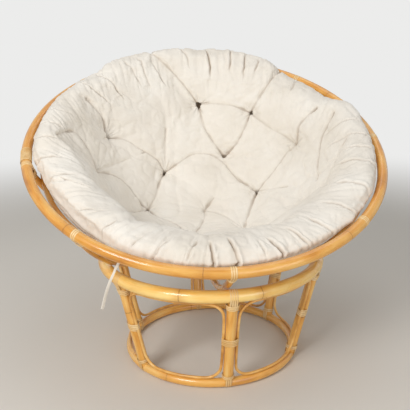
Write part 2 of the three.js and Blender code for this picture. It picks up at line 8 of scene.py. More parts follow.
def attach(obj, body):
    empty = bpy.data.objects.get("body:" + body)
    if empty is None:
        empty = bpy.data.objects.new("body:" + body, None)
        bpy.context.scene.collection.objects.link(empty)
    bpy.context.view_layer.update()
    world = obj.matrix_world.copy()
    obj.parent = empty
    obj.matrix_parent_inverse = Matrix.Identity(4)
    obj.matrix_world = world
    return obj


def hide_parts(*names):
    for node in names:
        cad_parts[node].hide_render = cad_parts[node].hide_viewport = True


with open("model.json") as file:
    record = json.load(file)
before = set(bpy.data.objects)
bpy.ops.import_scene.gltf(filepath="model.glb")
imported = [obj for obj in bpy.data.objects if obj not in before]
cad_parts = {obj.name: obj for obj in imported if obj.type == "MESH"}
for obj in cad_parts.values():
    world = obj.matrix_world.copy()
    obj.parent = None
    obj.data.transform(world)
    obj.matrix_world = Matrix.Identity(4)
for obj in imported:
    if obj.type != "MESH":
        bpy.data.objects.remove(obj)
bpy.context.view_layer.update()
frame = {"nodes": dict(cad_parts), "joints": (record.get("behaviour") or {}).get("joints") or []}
nodes = frame["nodes"]
print("frame loaded:", len(nodes), "CAD nodes")

# The chair's own sizes, in metres and degrees
chair = {
    "bowlCentre": Vector(frame["joints"][0]["pos_m"]),  # centre of the sphere that the ribs lie on
    "bowlTilt": math.radians(25.8),
    "bowlSphere": 0.58741,
    "rimDrop": 0.20741,
    "standTurn": math.radians(2.151),
}
bowlPlace = Matrix.Translation(chair["bowlCentre"]) @ Matrix.Rotation(chair["bowlTilt"], 4, "X")
standAxis = Vector((0, chair["bowlCentre"].y, 0))
standPlace = Matrix.Translation(standAxis) @ Matrix.Rotation(chair["standTurn"], 4, "Z")


# camera
camera = {
    "place": (-0.253, -1.884, 0.9753),
    "yaw": 0.1310,
    "pitch": 0.2709,
    "roll": -0.0085,
    "lens": 53.4,
}


def addCamera():
    yaw, pitch, roll = camera["yaw"], camera["pitch"], camera["roll"]
    ahead = Vector((math.sin(yaw) * math.cos(pitch), math.cos(yaw) * math.cos(pitch), -math.sin(pitch)))
    level = Vector((math.cos(yaw), -math.sin(yaw), 0))
    above = level.cross(ahead)
    right = level * math.cos(roll) + above * math.sin(roll)
    up = right.cross(ahead)
    bpy.ops.object.camera_add(location=camera["place"])
    made = bpy.context.object
    made.data.lens = camera["lens"]
    turned = Matrix((right, up, -ahead)).transposed().to_4x4()
    made.matrix_world = Matrix.Translation(camera["place"]) @ turned
    bpy.context.scene.camera = made


addCamera()


# An sRGB colour as Blender's linear one
def linear(hexColour):
    parts = [int(hexColour[i : i + 2], 16) / 255 for i in (1, 3, 5)]
    return [p / 12.92 if p <= 0.04045 else ((p + 0.055) / 1.055) ** 2.4 for p in parts] + [1]


# Adds a node with its settings and inputs; an input is a value or (node, output). _0 is the first socket.
def add(material, kind, settings=(), **inputs):
    made = material.node_tree.nodes.new("ShaderNode" + kind)
    for name, value in dict(settings).items():
        setattr(made, name, value)
    for name, value in inputs.items():
        socket = made.inputs[int(name[1:])] if name[1:].isdigit() else made.inputs[name.replace("_", " ")]
        if isinstance(value, tuple) and isinstance(value[0], bpy.types.Node):
            material.node_tree.links.new(value[0].outputs[value[1]], socket)
        else:
            socket.default_value = value
    return made


def newMaterial(name, **inputs):
    material = bpy.data.materials.new(name)
    material.use_nodes = True
    shader = material.node_tree.nodes["Principled BSDF"]
    for key, value in inputs.items():
        shader.inputs[key.replace("_", " ")].default_value = value
    return material, shader


def ramp(material, factor, stops):
    made = add(material, "ValToRGB", Fac=factor)
    elements = made.color_ramp.elements
    while len(elements) < len(stops):
        elements.new(0.5)
    for element, (place, colour) in zip(elements, stops):
        element.position = place
        element.color = linear(colour)
    return made


def link(material, source, output, target, name):
    material.node_tree.links.new(source.outputs[output], target.inputs[name])


eased = {"interpolation_type": "SMOOTHSTEP"}


# The result of an operation on values, or on outputs of other nodes
def calculate(material, operation, *values):
    inputs = {f"_{i}": value for i, value in enumerate(values)}
    return add(material, "Math", {"operation": operation}, **inputs), "Value"


# A colour between two, by a factor
def blend(material, factor, first, second):
    return add(material, "Mix", {"data_type": "RGBA"}, _0=factor, _6=first, _7=second), "Result"


# Rattan: a solid vine peeled to its hard skin, sanded and clear lacquered, so it is glossy with long fibres
# under the gloss. A leaf scar rings it about every third of a metre, in the middle of a darker stretch.
# UV is in metres: u along the pole, v round it.
def lacqueredRattan(name, values):
    material, shader = newMaterial(name, IOR=1.48, Coat_Weight=0.5, Coat_Roughness=0.1)
    uv = (add(material, "TexCoord"), "UV")
    sway = add(material, "TexNoise", Vector=uv, Scale=45.0, Detail=2.0)
    fibrePlace = add(material, "Mapping", Vector=uv, Scale=(9.0, 700.0, 1.0))
    fibre = add(material, "TexNoise", Vector=(fibrePlace, "Vector"), Scale=1.0, Detail=3.0, Roughness=0.6)
    tonePlace = add(material, "Mapping", Vector=uv, Scale=(7.0, 28.0, 1.0))
    tone = add(material, "TexNoise", Vector=(tonePlace, "Vector"), Scale=1.0, Detail=3.0, Roughness=0.55)
    mixed = calculate(material, "MULTIPLY_ADD", (fibre, "Fac"), 0.35, (tone, "Fac"))
    stops = [(0.42, values["dark"]), (0.62, values["middle"]), (0.86, values["light"])]
    colour = ramp(material, mixed, stops)
    # the place of the next leaf scar, a little irregular
    apart = add(material, "SeparateXYZ", Vector=uv)
    wavy = calculate(material, "MULTIPLY_ADD", (sway, "Fac"), 0.006, (apart, "X"))
    cell = calculate(material, "DIVIDE", wavy, values["scarSpacing"])
    whole = calculate(material, "FLOOR", cell)
    chance = add(material, "TexWhiteNoise", {"noise_dimensions": "1D"}, W=whole)
    part = calculate(material, "FRACT", cell)
    centre = calculate(material, "MULTIPLY_ADD", (chance, "Value"), 0.5, 0.25)
    away = calculate(material, "ABSOLUTE", calculate(material, "SUBTRACT", part, centre))
    distance = calculate(material, "MULTIPLY", away, values["scarSpacing"])
    scar = add(
        material, "MapRange", eased,
        _0=distance, _1=values["scarWidth"], _2=values["scarWidth"] * 2.6, _3=1.0, _4=0.0,
    )
    halo = add(material, "MapRange", eased, _0=distance, _1=0.0, _2=0.03, _3=0.35, _4=0.0)
    warm = blend(material, (halo, "Result"), (colour, "Color"), linear(values["halo"]))
    broken = calculate(material, "MULTIPLY", (scar, "Result"), (sway, "Fac"))
    marked = blend(material, broken, warm, linear(values["scar"]))
    link(material, *marked, shader, "Base Color")
    height = calculate(material, "MULTIPLY_ADD", (scar, "Result"), 1.2, (fibre, "Fac"))
    bump = add(material, "Bump", Strength=0.25, Distance=0.0006, Height=height)
    link(material, bump, "Normal", shader, "Normal")
    dull = add(
        material, "MapRange",
        _0=(tone, "Fac"), _1=0.3, _2=0.7, _3=values["roughness"] + 0.08, _4=values["roughness"],
    )
    link(material, dull, "Result", shader, "Roughness")
    return material


# Cane: the vine's skin split into flat strips. It is paler than the poles, fine lined and less glossy, and
# painted darker where two turns of a strand meet, as shade in the gap between them.
def splitCane(name, values):
    material, shader = newMaterial(
        name, Roughness=values["roughness"], IOR=1.48, Coat_Weight=0.15, Coat_Roughness=0.25,
    )
    place = (add(material, "TexCoord"), "Object")
    strip = add(material, "TexNoise", Vector=place, Scale=70.0, Detail=3.0, Roughness=0.6)
    patch = add(material, "TexNoise", Vector=place, Scale=14.0, Detail=2.0)
    mixed = calculate(material, "MULTIPLY_ADD", (strip, "Fac"), 0.5, (patch, "Fac"))
    stops = [(0.5, values["dark"]), (0.75, values["middle"]), (0.98, values["light"])]
    colour = ramp(material, mixed, stops)
    # painted shade: blended towards the between colour, by the line share, where two turns of a strand meet
    edge = add(material, "Attribute", {"attribute_name": "strandEdge"})
    shade = calculate(material, "MULTIPLY", (edge, "Fac"), values["line"])
    lined = blend(material, shade, (colour, "Color"), linear(values["between"]))
    link(material, *lined, shader, "Base Color")
    line = add(material, "TexNoise", Vector=place, Scale=900.0, Detail=2.0)
    bump = add(material, "Bump", Strength=0.2, Distance=0.0003, Height=(line, "Fac"))
    link(material, bump, "Normal", shader, "Normal")
    return material


# Cotton canvas: unbleached plain weave, matte, with seed flecks and shallow creases between its folds, and
# painted shade where the cushion marks its valleys, pits, crease lines and seam.
# Its threads, 0.5 mm apart, are drawn 2 mm apart so that they show at all.
def cottonCanvas(name, values):
    material, shader = newMaterial(
        name, Roughness=0.92, Sheen_Weight=0.15, Sheen_Roughness=0.5, Specular_IOR_Level=0.2,
    )
    place = (add(material, "TexCoord"), "Object")
    patch = add(material, "TexNoise", Vector=place, Scale=5.0, Detail=4.0, Roughness=0.6)
    stops = [(0.3, values["dark"]), (0.5, values["middle"]), (0.75, values["light"])]
    colour = ramp(material, (patch, "Fac"), stops)
    fleck = add(material, "TexNoise", Vector=place, Scale=420.0, Detail=1.0)
    seed = add(material, "MapRange", _0=(fleck, "Fac"), _1=0.72, _2=0.8, _3=0.0, _4=0.35)
    marked = blend(material, (seed, "Result"), (colour, "Color"), linear(values["seed"]))
    # painted shade: the colour is blended towards the shade colour by the cushion's painted-shade attribute
    foldShade = add(material, "Attribute", {"attribute_name": "valley"})
    shaded = blend(material, (foldShade, "Fac"), marked, linear(values["foldShade"]))
    link(material, *shaded, shader, "Base Color")
    crease = add(
        material, "TexNoise", Vector=place, Scale=38.0, Detail=5.0, Roughness=0.62, Distortion=0.6,
    )
    thread = add(material, "TexNoise", Vector=place, Scale=500.0, Detail=2.0)
    height = calculate(material, "MULTIPLY_ADD", (thread, "Fac"), 0.05, (crease, "Fac"))
    bump = add(material, "Bump", Strength=0.35, Distance=values["creaseDepth"], Height=height)
    link(material, bump, "Normal", shader, "Normal")
    return material


poleColours = {
    "dark": "#AE6A1E", "middle": "#DA9637", "light": "#ECB862", "halo": "#C4812E", "scar": "#935C20",
    "scarSpacing": 0.36, "scarWidth": 0.0008, "roughness": 0.24,
}
rattan = lacqueredRattan("clear lacquered rattan pole", poleColours)
# paler rattan for the top ring, its colours also raised as painted light to make up for the shade the bowl
# casts on it
rattanPaleBrightened = lacqueredRattan(
    "clear lacquered rattan pole, pale",
    {**poleColours, "dark": "#D6943A", "middle": "#F4BE5C", "light": "#FAD888"},
)
rattanStand = lacqueredRattan(
    "clear lacquered rattan pole, stand",
    {**poleColours, "dark": "#BC7A2C", "middle": "#E6A84B", "light": "#F2C678"},
)
cane = splitCane(
    "split cane binding",
    {
        # between is painted shade, the colour drawn where two turns of a strand meet; line is how much of
        # it
        "dark": "#E0B066", "middle": "#F3CF92", "light": "#FBE2B0", "between": "#945A1A",
        "line": 0.45, "roughness": 0.38,
    },
)
rod = splitCane(
    "peeled rattan rod",
    {
        "dark": "#BF8338", "middle": "#E2AA58", "light": "#F1C67C", "between": "#945A1A",
        "line": 0.0, "roughness": 0.3,
    },
)
canvas = cottonCanvas(
    "unbleached cotton canvas",
    {
        # the last colour is painted shade, for the canvas in its valleys, pits, crease lines and seam
        "dark": "#E2DACD", "middle": "#EAE3D8", "light": "#F0EBE2", "seed": "#BCA88B", "foldShade": "#86694A",
        "creaseDepth": 0.0035,
    },
)
tape = cottonCanvas(
    "cotton tape",
    {
        # the last colour is painted shade for marked valleys; the tape has none marked
        "dark": "#DDD5C6", "middle": "#E8E1D4", "light": "#F1ECE2", "seed": "#C2B196", "foldShade": "#C9BBA5",
        "creaseDepth": 0.0008,
    },
)
print("materials made")


def newPiece(name, data):
    piece = bpy.data.objects.new(name, data)
    bpy.context.scene.collection.objects.link(piece)
    return piece


def finishPiece(piece, node, body, slot, material):
    piece.name = node + "_look"
    piece.data.name = piece.name
    piece.data.materials.clear()
    piece.data.materials.append(material)
    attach(piece, body)
    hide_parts(node)


def deselectAll():
    if bpy.context.object and bpy.context.object.mode != "OBJECT":
        bpy.ops.object.mode_set(mode="OBJECT")
    bpy.ops.object.select_all(action="DESELECT")


def select(piece):
    deselectAll()
    piece.select_set(True)
    bpy.context.view_layer.objects.active = piece


# Puts the piece where it belongs, with its place in its mesh
def settle(piece, place):
    piece.matrix_world = place @ piece.matrix_world
    select(piece)
    bpy.ops.object.transform_apply(location=True, rotation=True, scale=True)


# A copy with its own mesh
def copyOf(first):
    piece = first.copy()
    piece.data = first.data.copy()
    bpy.context.scene.collection.objects.link(piece)
    bpy.context.view_layer.update()
    return piece


# The vine that the poles are cut from, in metres: how much is used, and what is left over between two poles
vine = {"used": 0.0, "waste": 1.37}


def changeUv(piece, change):
    layer = piece.data.uv_layers.active
    uv = np.zeros(len(layer.data) * 2, np.float32)
    layer.data.foreach_get("uv", uv)
    layer.data.foreach_set("uv", change(uv.reshape(-1, 2)).astype(np.float32).ravel())


# The UV map in metres, u along the pole and v round it
def scaleUv(piece, alongAxis, length, girth):
    changeUv(piece, lambda uv: np.stack([uv[:, alongAxis] * length, uv[:, 1 - alongAxis] * girth], -1))


# Each pole starts at another part of the vine, so that no two have the same scars
def cutFromVine(piece, length):
    changeUv(piece, lambda uv: uv + (vine["used"], 0))
    vine["used"] += length + vine["waste"]


# The rings are smooth: steps along the pole and round it. The ends of a ring's pole meet at its seam.
rings = {"steps": 192, "sides": 24, "seam": 200}


def ringPole(values):
    deselectAll()
    bpy.ops.mesh.primitive_torus_add(
        major_radius=values["radius"],
        minor_radius=values["pole"],
        major_segments=rings["steps"],
        minor_segments=rings["sides"],
        generate_uvs=True,
        location=(0, 0, values["height"]),
        rotation=(0, 0, math.radians(rings["seam"])),
    )
    piece = bpy.context.object
    bpy.ops.object.shade_smooth()
    length = math.tau * values["radius"]
    scaleUv(piece, 0, length, math.tau * values["pole"])
    cutFromVine(piece, length)
    return piece


# Tie of the cushion: a flat cotton tape that hangs out of the bowl. Its points are in millimetres, and it
# narrows and turns a little at each of them.
tie = {
    "points": [
        (-269.6, -377.8, 432.6), (-277.8, -387.9, 418.4), (-289.1, -398.9, 403.3), (-297.5, -407.5, 388.3),
        (-308.2, -416.4, 367.9), (-317.6, -425.4, 343.7), (-324.3, -432.4, 321.8), (-328.8, -436.1, 305.4),
    ],
    "width": 0.0095,
    "thickness": 0.0016,
    "widths": (0.8, 0.85, 0.75, 0.65, 0.8, 1.0, 1.05, 1.1),
    "turns": (0.2, 0.3, 0.5, 0.8, 0.5, 0.2, 0.2, 0.1),
    "steps": 4,
}


# Points on one smooth curve through the given ones
def smoothThrough(points, parts):
    points = np.array(points, float)
    ends = np.vstack([2 * points[0] - points[1], points, 2 * points[-1] - points[-2]])
    out = []
    for i in range(len(points) - 1):
        a, b, c, d = ends[i : i + 4]
        for k in range(parts):
            t = k / parts
            square = (2 * a - 5 * b + 4 * c - d) * t * t
            cube = (3 * b - a - 3 * c + d) * t**3
            out.append(0.5 * (2 * b + (c - a) * t + square + cube))
    out.append(points[-1])
    return np.array(out)


def makeTie():
    rows = zip(tie["points"], tie["widths"], tie["turns"])
    given = [[x / 1000, y / 1000, z / 1000, width, turn] for (x, y, z), width, turn in rows]
    route = smoothThrough(given, tie["steps"])
    curve = bpy.data.curves.new("tie", "CURVE")
    curve.dimensions = "3D"
    curve.extrude = tie["width"] / 2 - tie["thickness"] / 2
    curve.bevel_depth = tie["thickness"] / 2
    curve.bevel_resolution = 3
    curve.use_fill_caps = True
    curve.twist_mode = "MINIMUM"
    spline = curve.splines.new("POLY")
    spline.points.add(len(route) - 1)
    for point, (x, y, z, width, turn) in zip(spline.points, route):
        point.co = (x, y, z, 1)
        point.radius = width
        point.tilt = turn
    piece = newPiece("tie", curve)
    finishPiece(piece, "cushion_tie", "cushion", "cotton_tie", tape)


makeTie()
print("tie hung")

standRings = {
    "stand_top_ring": {
        "radius": 0.3326, "pole": 0.018, "height": 0.313,
        # paler rattan, brightened as painted light against the bowl's shade
        "material": rattanPaleBrightened, "slot": "rattan_pole_pale",
    },
    "stand_bottom_ring": {
        "radius": 0.2625, "pole": 0.0135, "height": 0.0149,
        "material": rattanStand, "slot": "rattan_pole",
    },
}
for node, values in standRings.items():
    piece = ringPole(values)
    settle(piece, standPlace)
    finishPiece(piece, node, "stand", values["slot"], values["material"])

# The rings inside the bowl lie on its sphere, at an angle from its axis
bowlRings = {
    "bowl_rim": {"radius": 0.5498, "pole": 0.0155, "height": -chair["rimDrop"]},
    "bowl_second_ring": {"radius": 0.5072, "pole": 0.008, "polar": 62.86},
    "bowl_inner_ring": {"radius": 0.2257, "pole": 0.008, "polar": 23.32},
    "bowl_hub_ring": {"radius": 0.1018, "pole": 0.008, "polar": 10.29},
}
for node, values in bowlRings.items():
    if "polar" in values:
        values["height"] = -values["radius"] / math.tan(math.radians(values["polar"]))
    piece = ringPole(values)
    settle(piece, bowlPlace)
    finishPiece(piece, node, "bowl", "rattan_pole", rattan)
print("rings bent")

# Ribs: a torus about the sphere's centre, cut to the arc from the hub to the rim. The left one sits beside
# the joint of the rim's ends.
ribs = {
    "pole": 0.0100,
    "hubEnd": 8.2,
    "rimEnd": 68.6,
    "turns": (0, 45, 90, 135, 180, 225, 279, 315),
    "steps": 360,
    "sides": 20,
    "endAngle": 60,  # edges sharper than this stay sharp
}
ribs["vine"] = math.tau * chair["bowlSphere"]


def ribPole():
    deselectAll()
    bpy.ops.mesh.primitive_torus_add(
        major_radius=chair["bowlSphere"],
        minor_radius=ribs["pole"],
        major_segments=ribs["steps"],
        minor_segments=ribs["sides"],
        generate_uvs=True,
        rotation=(0, math.radians(90), 0),
    )
    piece = bpy.context.object
    scaleUv(piece, 0, ribs["vine"], math.tau * ribs["pole"])
    bpy.ops.object.transform_apply(location=False, rotation=True, scale=False)
    bpy.ops.object.mode_set(mode="EDIT")
    for polar, side in ((ribs["rimEnd"], 1), (ribs["hubEnd"], -1)):
        angle = math.radians(polar)
        bpy.ops.mesh.select_all(action="SELECT")
        # the plane holds the rib's end direction and the X axis; the part past it goes
        normal = Vector((0, -math.cos(angle), math.sin(angle))) * side
        bpy.ops.mesh.bisect(plane_co=(0, 0, 0), plane_no=normal, use_fill=True, clear_outer=True)
    bpy.ops.object.mode_set(mode="OBJECT")
    bpy.ops.object.shade_smooth_by_angle(angle=math.radians(ribs["endAngle"]))
    return piece


firstRib = ribPole()
for i, turn in enumerate(ribs["turns"]):
    piece = copyOf(firstRib)
    cutFromVine(piece, ribs["vine"])
    settle(piece, bowlPlace @ Matrix.Rotation(math.radians(turn), 4, "Z"))
    finishPiece(piece, f"bowl_rib_{i + 1}", "bowl", "rattan_pole", rattan)
bpy.data.objects.remove(firstRib)

# Posts: straight poles between the stand's rings. Both ends are sunk into the ring, by a share of its pole.
posts = {
    "pole": 0.015,
    "count": 6,
    "top": (0.3321, 0.313),
    "bottom": (0.262, 0.0149),
    "sink": 0.4,
    "sides": 32,
    "endAngle": 60,
}


def postPole():
    top = Vector((0, -posts["top"][0], posts["top"][1]))
    bottom = Vector((0, -posts["bottom"][0], posts["bottom"][1]))
    rise = (top - bottom).normalized()
    top -= rise * posts["sink"] * standRings["stand_top_ring"]["pole"]
    bottom += rise * posts["sink"] * standRings["stand_bottom_ring"]["pole"]
    length = (top - bottom).length
    deselectAll()
    bpy.ops.mesh.primitive_cylinder_add(
        vertices=posts["sides"], radius=posts["pole"], depth=length,
        location=(top + bottom) / 2, rotation=rise.to_track_quat("Z", "Y").to_euler(),
    )
    piece = bpy.context.object
    # a cylinder's side takes half of its UV map in each direction
    scaleUv(piece, 1, length * 2, math.tau * posts["pole"] * 2)
    bpy.ops.object.shade_smooth_by_angle(angle=math.radians(posts["endAngle"]))
    return piece, length * 2


firstPost, postVine = postPole()
for i in range(posts["count"]):
    piece = copyOf(firstPost)
    cutFromVine(piece, postVine)
    settle(piece, standPlace @ Matrix.Rotation(math.radians(360 / posts["count"]) * i, 4, "Z"))
    finishPiece(piece, f"stand_post_{i + 1}", "stand", "rattan_pole", rattanStand)
bpy.data.objects.remove(firstPost)
print("ribs and posts made")


# Rods and bindings: the CAD piece's own shape, rounded. A cane strand keeps the two edges of its flat base.
rounding = {
    "weld": 0.00002,
    "quadAngle": 60,  # triangles that meet at less than this make a quad
    "caneEdge": 100,  # edges of a strand sharper than this stay sharp
    "rodGrowth": 0.0006,  # makes up for what rounding takes off a rod
    "levels": 2,
    "smoothAngle": 70,
}


def roundedCopy(node, creaseAngle, growth):
    mesh = nodes[node].data.copy()
    piece = newPiece(node + "_round", mesh)
    select(piece)
    bpy.ops.object.mode_set(mode="EDIT")
    bpy.ops.mesh.select_all(action="SELECT")
    bpy.ops.mesh.remove_doubles(threshold=rounding["weld"])
    flat = math.radians(rounding["quadAngle"])
    bpy.ops.mesh.tris_convert_to_quads(face_threshold=flat, shape_threshold=flat)
    if growth:
        bpy.ops.transform.shrink_fatten(value=growth)
    if creaseAngle:
        bpy.ops.mesh.select_mode(type="EDGE")
        bpy.ops.mesh.select_all(action="DESELECT")
        bpy.ops.mesh.edges_select_sharp(sharpness=math.radians(creaseAngle))
        bpy.ops.transform.edge_crease(value=1)
    bpy.ops.object.mode_set(mode="OBJECT")
    if creaseAngle:
        # how near the strand's own edge a point is, for the painted shade line between two turns
        layer = mesh.attributes.new("strandEdge", "FLOAT", "POINT")
        layer.data.foreach_set("value", [float(point.select) for point in mesh.vertices])
    smooth = piece.modifiers.new("round", "SUBSURF")
    smooth.levels = smooth.render_levels = rounding["levels"]
    bpy.ops.object.modifier_apply(modifier=smooth.name)
    bpy.ops.object.shade_smooth_by_angle(angle=math.radians(rounding["smoothAngle"]))
    return piece


for node in sorted(nodes):
    body = "bowl" if node.startswith("bowl") else "stand"
    if "loop" in node:
        finishPiece(roundedCopy(node, 0, rounding["rodGrowth"]), node, body, "rattan_pole_pale", rod)
    elif "binding" in node:
        finishPiece(roundedCopy(node, rounding["caneEdge"], 0), node, body, "cane_binding", cane)
print("rods and bindings rounded")


# cushion, made in the bowl's own frame about the sphere's centre, in millimetres
cushion = {
    "base": 560.2,  # underside on the rings
    "crown": 447.0,  # top of the puffed patches
    "roll": 50.0,
    "rimOut": 549.1,  # the middle of the rim's pole, from the axis
    # how the edge sits at each 15 degrees from the front: -1 held in, 0 tucked in the rim, 1 proud over it
    "edge": [
        0, -0.1, -0.25, 0.05, 0.4, 0.25, 0.4, 0.7, 0.15, 0.4, 1, 1,
        1, 1, 1, 0.7, 0.5, 0.35, 0.35, -0.5, -1, -0.8, -0.25, 0,
    ],
    # how high its roll stands there, in shares of its full height
    "rise": [
        0.78, 0.66, 0.68, 0.8, 0.92, 1, 1, 0.9, 0.5, 0.4, 0.85, 1,
        1, 1, 0.95, 0.8, 0.9, 1, 1, 0.9, 0.8, 0.7, 0.66, 0.72,
    ],
    # the roll's outline in shares of its size, (out from the rim, above it)
    "heldRoll": [(-2.9, 0.55), (-2.4, 1), (-1.9, 1.12), (-1.4, 0.92), (-1.12, 0.5)],
    "tuckedRoll": [(-2.5, 0.6), (-2, 1.04), (-1.5, 1.2), (-1, 1.04), (-0.68, 0.6)],
    "proudRoll": [(-2.1, 0.75), (-1.5, 1.3), (-0.84, 1.52), (-0.2, 1.28), (0.08, 0.86)],
    # the rows below it: in the same shares where it is held in, else as degrees round the rim's section
    "heldRest": [(-1.14, -0.05), (-1.12, -0.45), (-1.08, -0.8)],
    "tuckedRest": (150, 165, 190),
    "proudRest": (110, 150, 190),
    "rimRest": 20.8,  # from the middle of the rim's pole
    "seatRows": (0, 8, 16, 24, 32, 40, 47, 53),  # degrees from the bowl's axis, as for the underside
    "underRows": (62.8, 57, 50, 43, 36, 29, 23.3, 15, 8, 0),
    "bridge": 20.0,  # how far the underside stands clear of the ribs, between the inner and the second ring
    "bridgeEnds": (23.3, 62.8),
    "rowParts": 6,
    "columns": 240,
    "edgeOut": 5.0,  # makes up for the inset and the folds at the edge
    "voxel": 0.0085,
    "mapRadius": 455.0,  # creases and tufts are placed and measured at this distance from the centre
    # tufts: how deep one is pulled, then its angle round the bowl and its angle from the bowl's axis
    "tufts": [
        (1, 176.4, 51.6), (1, 146.2, 51.6), (0.8, 238.5, 50.6), (0.75, 110.3, 49.5), (0.8, 153.5, 29.1),
        (1, 216.5, 24), (0.75, 285.5, 24.4), (0.4, 268, 48.1), (0.75, 95.6, 24.2), (0.6, 33.7, 25.4),
        (0.3, 12, 3.5), (0.4, 60, 46.2), (0.5, 341, 30), (0.35, 298, 46), (0.4, 325, 53), (0.35, 355, 53),
        (0.4, 25, 54),
    ],
    # creases from tuft to tuft or up to the edge: depth, then a tuft's number or a place by the same angles
    "creases": [
        (6, 0, (172.8, 52.3), (156.5, 52.5), 1),
        (9, 0, (180, 55.3), (184.5, 60.6), (190.4, 67.8), (196, 74)),
        (7, 0, (173.1, 41.5), (166.9, 35.7), 4),
        (7, 1, (145.4, 44.9), (146.5, 36.6), 4),
        (4, 1, (132.3, 48.7), (119.6, 48.9), 3),
        (12, 1, (144.3, 57.8), (142.6, 64.5), (141.2, 73)),
        (9, 3, (113.8, 54.3), (115.2, 58.5), (113.4, 66)),
        (5, 3, (108, 43), (102.9, 34.1), 8),
        (7, 5, (199.2, 25), (180.7, 28), (157.7, 27.2), (127.6, 21), 8),
        (10, 5, (238, 21), (261.7, 20.2), (275, 21.8), 6),
        (3, 5, (206.7, 32.7), (200.6, 41.5)),
        (8, 2, (235.8, 56), (235.5, 60.2), (236.6, 67.8)),
        (6, 2, (231.1, 44.9), (226, 37.6), (218, 30), 5),
        (6, 7, (264.8, 43.8), (262.9, 37.5), (266.4, 32.4), (276, 28.5), 6),
        (3, 7, (248.7, 40), (224.4, 35.5)),
        (6, (268, 70), (258, 64), (259.5, 56), 7),
        (6, 6, (296.5, 34.6), (298, 44)),
        (8, 6, (301.8, 22.7), (321.8, 21), (336.2, 24.8), 12),
        (7, 8, (72.4, 21.6), (48.3, 22.6), 9),
        (4, 8, (87.6, 30.1), (80.2, 37.8)),
        (6, (118, 6.1), 10, (0.5, 8.9), (348.4, 20), 12),
        (3, 10, (37.7, 10.6), (35, 20), 9),
        (8, (104, 69), (98, 59.5), (86.9, 53.9), (72.6, 52.1)),
        (5, (86, 68), (76.2, 60.5), (62, 56), 11),
        (4, 9, (40, 38), 11),
        (4, 9, (27, 42), 16),
        (4, 12, (332, 42), 14),
    ],
    # soft folds where the cloth hangs slack between tufts: depth, width, then points as for the creases
    "drapes": [
        (9, 17, (196.5, 72), (190.7, 64.5), (183.7, 54.6), (176, 44.5)),
        (6, 15, (207, 68), (202, 58), (199, 48), (204, 36), (214, 27)),
        (5, 14, (244, 66), (240, 58), (228, 50), (214, 44)),
        (5, 13, (166, 68), (166, 60), (163, 53)),
        (5, 14, (158, 70), (155, 60), (152, 53)),
        (6, 16, (98, 60), (84, 50), (66, 42), (50, 36)),
        (5, 14, (88, 66), (70, 56), (52, 50), (38, 46)),
        (5, 15, (256, 62), (252, 50), (246, 38), (236, 28)),
        (5, 14, (300, 60), (292, 50), (284, 40)),
    ],
    # tucks over the edge: depth, then angle and distance from the axis where one starts and where it ends
    "tucks": [
        (7, 353.8, 470, 355.2, 542), (8, 0.2, 462, 2, 544), (6, 13, 470, 15.4, 530),
        (4, 9.2, 470, 9.8, 512), (4, 349.6, 465, 347.6, 520), (4, 21, 455, 24, 520),
        (4, 341, 468, 338, 525), (3, 333, 470, 331, 515), (4, 31, 450, 34, 525), (3, 42, 440, 45, 520),
        (3, 55, 430, 56, 520), (3, 70, 410, 69, 520), (2, 79, 400, 77, 515), (2, 88, 400, 85, 510),
        (2, 97, 410, 94, 505), (3, 322, 460, 319, 525), (4, 308, 496, 314, 445), (4, 292, 440, 289, 530),
        (3, 281, 450, 279, 530), (2, 271, 450, 270, 530), (2, 262, 440, 262, 525),
        (2, 252, 430, 254, 520), (3, 229, 400, 232, 510), (5, 293, 470, 301, 420),
        (4, 220, 395, 222, 505), (3, 203, 400, 203, 500), (5, 197.5, 470, 194.5, 400),
        (4, 209, 500, 207.5, 415), (6, 173.5, 520, 170.6, 418), (5, 163, 525, 161.6, 440),
        (5, 156.8, 515, 154.4, 425), (4, 151, 515, 150, 455), (3, 184, 520, 181, 440),
        (3, 133, 520, 131, 450),
    ],
}

# What is pressed into the cover before it is filled. Pairs are depth and width.
pressed = {
    "top": (-0.25, 0.3),  # how far a point looks to the bowl's centre where the top begins, and its fade
    "overRim": (5, 20),  # height over the rim's plane where the rest of the top begins, and its fade
    "inset": 6.0,  # the filled cover swells by about this
    "creaseShare": 0.8,
    "creaseWidth": 11.0,
    "creaseSlack": 0.35,  # a crease is shallower in its middle
    "drapeEnds": (0.06, 0.94),
    "tuft": (22.0, 28.0),
    "pit": (8, 9.0),
    # how much, how wide and how steeply stitches hold the cover down while it is filled
    "creaseHold": (0.85, 4.5, 4),
    "fullCrease": 8,  # a crease this deep is held in full
    "tuftHold": (1, 7.0, 4),
}


def onSphere(angle, polar, radius):
    across = radius * np.sin(polar)
    return np.stack([across * np.sin(angle), -across * np.cos(angle), -radius * np.cos(polar)], -1)


# From 0 at the start to 1 at the end of a span
def rampUp(value, start, span):
    return np.clip((value - start) / span, 0, 1)


# A dent's depth at a distance from its middle; a higher power makes its sides steeper
def dent(away, deep, wide, power=2):
    return deep * np.exp(-((away / wide) ** power))


# The value of a round table at an angle, eased between its entries
def roundValue(table, angle):
    place = (angle % math.tau) / math.tau * len(table)
    low = int(place)
    t = place - low
    t = t * t * (3 - 2 * t)
    return (1 - t) * table[low % len(table)] + t * table[(low + 1) % len(table)]


# A point on a circle about the rim's middle, at an angle in its section
def aroundRim(degrees):
    turn = math.radians(degrees)
    return cushion["rimRest"] * math.cos(turn), cushion["rimRest"] * math.sin(turn)


